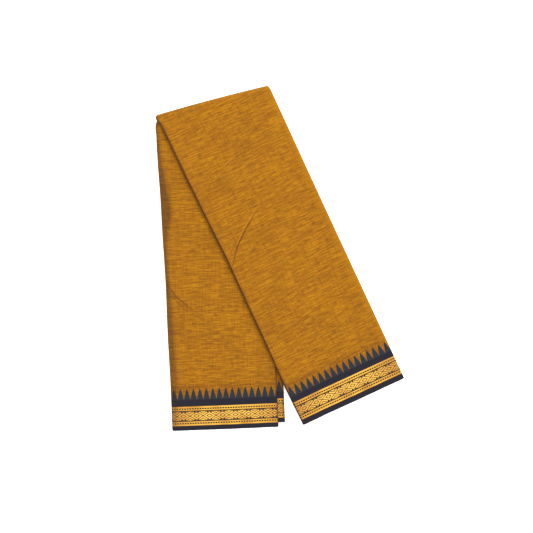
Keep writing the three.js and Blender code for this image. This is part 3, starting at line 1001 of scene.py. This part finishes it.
def layered_cotton(colours):
    """The same cotton seen at its stacked edges.

    The layers show as fine lines, drawn at 1.2 mm for every fourth layer because single ones are too
    fine to show: a bump, with a painted highlight on each sheet's edge and painted shade in the gaps. The
    stack has the border's colours where it passes them.
    """
    material, output = new_material("layered_cotton")
    tree = material.node_tree
    v = cloth_measures(tree)[1]
    layer = add_node(tree, READ, attribute_name="layer").outputs["Fac"]
    sheet_line = add_node(tree, MATH, {0: layer, 1: 0.6}, operation="PINGPONG")
    place = add_node(tree, MATH, {0: v, 1: 100.0}, operation="DIVIDE")
    bands = add_node(tree, RAMP, {0: place})
    ends = [(at / 100, thread) for start, end, thread in EDGE_ROWS for at in (start, end)]
    fill_ramp(bands, [(at, getattr(colours, thread)) for at, thread in ends])
    flecks = streaks(tree, v, layer, 9.0, 0.5, 2.0)
    fleck_share = add_node(tree, RANGE, {0: flecks, 1: 0.35, 2: 0.7, 3: 0.0, 4: 0.5})
    flecked = {0: fleck_share, 6: bands, 7: opaque(colours.weft)}
    colour = add_node(tree, MIX, flecked, data_type="RGBA", blend_type="MULTIPLY").outputs[2]
    # Each sheet's edge gets a painted highlight, and the gaps between the sheets a painted shade.
    painted_crest_highlight = add_node(tree, RANGE, {0: sheet_line, 1: 0.3, 2: 0.5, 3: 0.0, 4: 0.22})
    painted_gap_shade = add_node(tree, RANGE, {0: sheet_line, 1: 0.06, 2: 0.24, 3: 0.8, 4: 0.0})
    for share, tone in ((painted_crest_highlight, (0.2, 0.16, 0.12, 1.0)), (painted_gap_shade, (0.01, 0.007, 0.006, 1.0))):
        colour = add_node(tree, MIX, {0: share, 6: colour, 7: tone}, data_type="RGBA").outputs[2]
    bump = add_node(tree, "ShaderNodeBump", {"Strength": 0.7, "Distance": 0.2 * MM, "Height": sheet_line})
    shader = add_node(
        tree,
        "ShaderNodeBsdfPrincipled",
        {
            "Base Color": colour,
            "Roughness": 0.9,
            "Normal": bump,
            "Specular IOR Level": 0.2,
            "Sheen Weight": 0.05,
        },
    )
    tree.links.new(shader.outputs[0], output.inputs[0])
    return material


def dress(piece, material, nodes):
    """Gives a piece its material, fixes it to the saree's body and lets it stand for its solids."""
    piece.data.materials.append(material)
    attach(piece, MAIN_BODY)
    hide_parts(*nodes)
    return piece


def cotton_for(scene):
    """The handloom cotton, made once for all leaves."""
    return bpy.data.materials.get("handloom_cotton") or handloom_cotton(scene.saree_colours)


class SAREE_OT_inner_folds(bpy.types.Operator):
    """Adds the layers inside the pack, with the lips of their folds."""

    bl_idname = "saree.inner_folds"
    bl_label = "Add inner folds"

    def execute(self, context):
        scene = context.scene
        piece = inner_folds(scene.saree_sizes)
        dress(piece, layered_cotton(scene.saree_colours), ["hidden_layers"])
        return {"FINISHED"}


class SAREE_OT_lower_leaf(bpy.types.Operator):
    """Adds the lower leg's outer leaf, whose front lies on top of the leg."""

    bl_idname = "saree.lower_leaf"
    bl_label = "Add lower leaf"

    def execute(self, context):
        scene = context.scene
        piece = outer_leaf(
            "lower_cloth", LOWER, scene.saree_sizes, FRONT_LEAF_EDGE, PACK_WIDTH, True, LOWER_CREASES, False
        )
        dress(piece, cotton_for(scene), ["lower_field", "lower_border"])
        return {"FINISHED"}


class SAREE_OT_second_leaf(bpy.types.Operator):
    """Adds the leaf that stands out past the front leaf of the lower leg."""

    bl_idname = "saree.second_leaf"
    bl_label = "Add second leaf"

    def execute(self, context):
        scene = context.scene
        piece = second_leaf(scene.saree_sizes)
        dress(piece, cotton_for(scene), ["second_leaf_field", "second_leaf_border"])
        return {"FINISHED"}


class SAREE_OT_upper_leaf(bpy.types.Operator):
    """Adds the upper leg's outer leaf, which goes on over the turn."""

    bl_idname = "saree.upper_leaf"
    bl_label = "Add upper leaf"

    def execute(self, context):
        scene = context.scene
        sizes = scene.saree_sizes
        piece = outer_leaf(
            "upper_cloth", UPPER, sizes, PACK_WIDTH - 1.2, UPPER_EDGE, False, UPPER_CREASES, True
        )
        dress(piece, cotton_for(scene), ["upper_field", "upper_border"])
        return {"FINISHED"}


# The picture's frame on the cloth, and the point that its middle looks at
PICTURE_WIDTH = 954.0
PICTURE_MIDDLE = np.array([-23.6, -14.4])
CLOTH_LEVEL = 10.0


class SAREE_OT_stage(bpy.types.Operator):
    """Adds the floor, the soft light and the camera straight above."""

    bl_idname = "saree.stage"
    bl_label = "Add stage"

    def execute(self, context):
        scene = context.scene
        colours = scene.saree_colours
        half = 4.0
        level = -0.4 * MM
        mesh = bpy.data.meshes.new("floor")
        corners = [(-half, -half, level), (half, -half, level), (half, half, level), (-half, half, level)]
        mesh.from_pydata(corners, [], [(0, 1, 2, 3)])
        floor = bpy.data.objects.new("floor", mesh)
        scene.collection.objects.link(floor)
        # A light table: matt white that glows, so that the cloth casts hardly any shadow on it.
        material, output = new_material("glowing_matt_floor")
        shader = add_node(
            material.node_tree,
            "ShaderNodeBsdfPrincipled",
            {
                "Base Color": opaque(colours.floor),
                "Roughness": 0.9,
                "Specular IOR Level": 0.1,
                "Emission Color": opaque(colours.floor),
                "Emission Strength": 0.65,
            },
        )
        material.node_tree.links.new(shader.outputs[0], output.inputs[0])
        mesh.materials.append(material)

        world = bpy.data.worlds.new("soft_white")
        world.use_nodes = True
        world.node_tree.nodes["Background"].inputs["Color"].default_value = (1.0, 1.0, 1.0, 1.0)
        world.node_tree.nodes["Background"].inputs["Strength"].default_value = 1.59
        scene.world = world

        lamp = bpy.data.lights.new("soft_box", "AREA")
        lamp.shape = "RECTANGLE"
        lamp.size = 1.6
        lamp.size_y = 1.2
        lamp.energy = 66.0
        soft_box = bpy.data.objects.new("soft_box", lamp)
        soft_box.location = (0.8, 1.5, 2.4)
        # It points at the middle of the table
        aim = -np.array(soft_box.location)
        tip = math.atan2(math.hypot(aim[0], aim[1]), -aim[2])
        soft_box.rotation_euler = (tip, 0, math.atan2(aim[1], aim[0]) - math.pi / 2)
        scene.collection.objects.link(soft_box)

        camera = bpy.data.cameras.new("camera")
        camera.sensor_width = 36.0
        camera.lens = 36.0 * scene.saree_sizes.camera_height / (PICTURE_WIDTH * MM)
        camera.clip_end = 50.0
        above = bpy.data.objects.new("camera", camera)
        above.location = (*(PICTURE_MIDDLE * MM), CLOTH_LEVEL * MM + scene.saree_sizes.camera_height)
        scene.collection.objects.link(above)
        scene.camera = above
        scene.view_settings.view_transform = "Standard"
        return {"FINISHED"}


OPERATORS = (
    SAREE_OT_inner_folds,
    SAREE_OT_lower_leaf,
    SAREE_OT_second_leaf,
    SAREE_OT_upper_leaf,
    SAREE_OT_stage,
)


class SAREE_PT_panel(bpy.types.Panel):
    """Lists the saree's pieces and its settings in the sidebar."""

    bl_label = "Saree"
    bl_idname = "SAREE_PT_panel"
    bl_space_type = "VIEW_3D"
    bl_region_type = "UI"
    bl_category = "Saree"

    def draw(self, context):
        layout = self.layout
        for settings in (context.scene.saree_sizes, context.scene.saree_colours):
            for name in settings.__annotations__:
                layout.prop(settings, name)
        for operator in OPERATORS:
            layout.operator(operator.bl_idname)


CLASSES = (SareeSizes, SareeColours, *OPERATORS, SAREE_PT_panel)


def register():
    for item in CLASSES:
        bpy.utils.register_class(item)
    bpy.types.Scene.saree_sizes = PointerProperty(type=SareeSizes)
    bpy.types.Scene.saree_colours = PointerProperty(type=SareeColours)


def unregister():
    del bpy.types.Scene.saree_colours
    del bpy.types.Scene.saree_sizes
    for item in reversed(CLASSES):
        bpy.utils.unregister_class(item)


def main():
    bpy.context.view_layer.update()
    register()
    bpy.ops.saree.inner_folds()
    bpy.ops.saree.lower_leaf()
    bpy.ops.saree.second_leaf()
    bpy.ops.saree.upper_leaf()
    bpy.ops.saree.stage()
    bpy.context.view_layer.update()


if __name__ == "__main__":
    main()
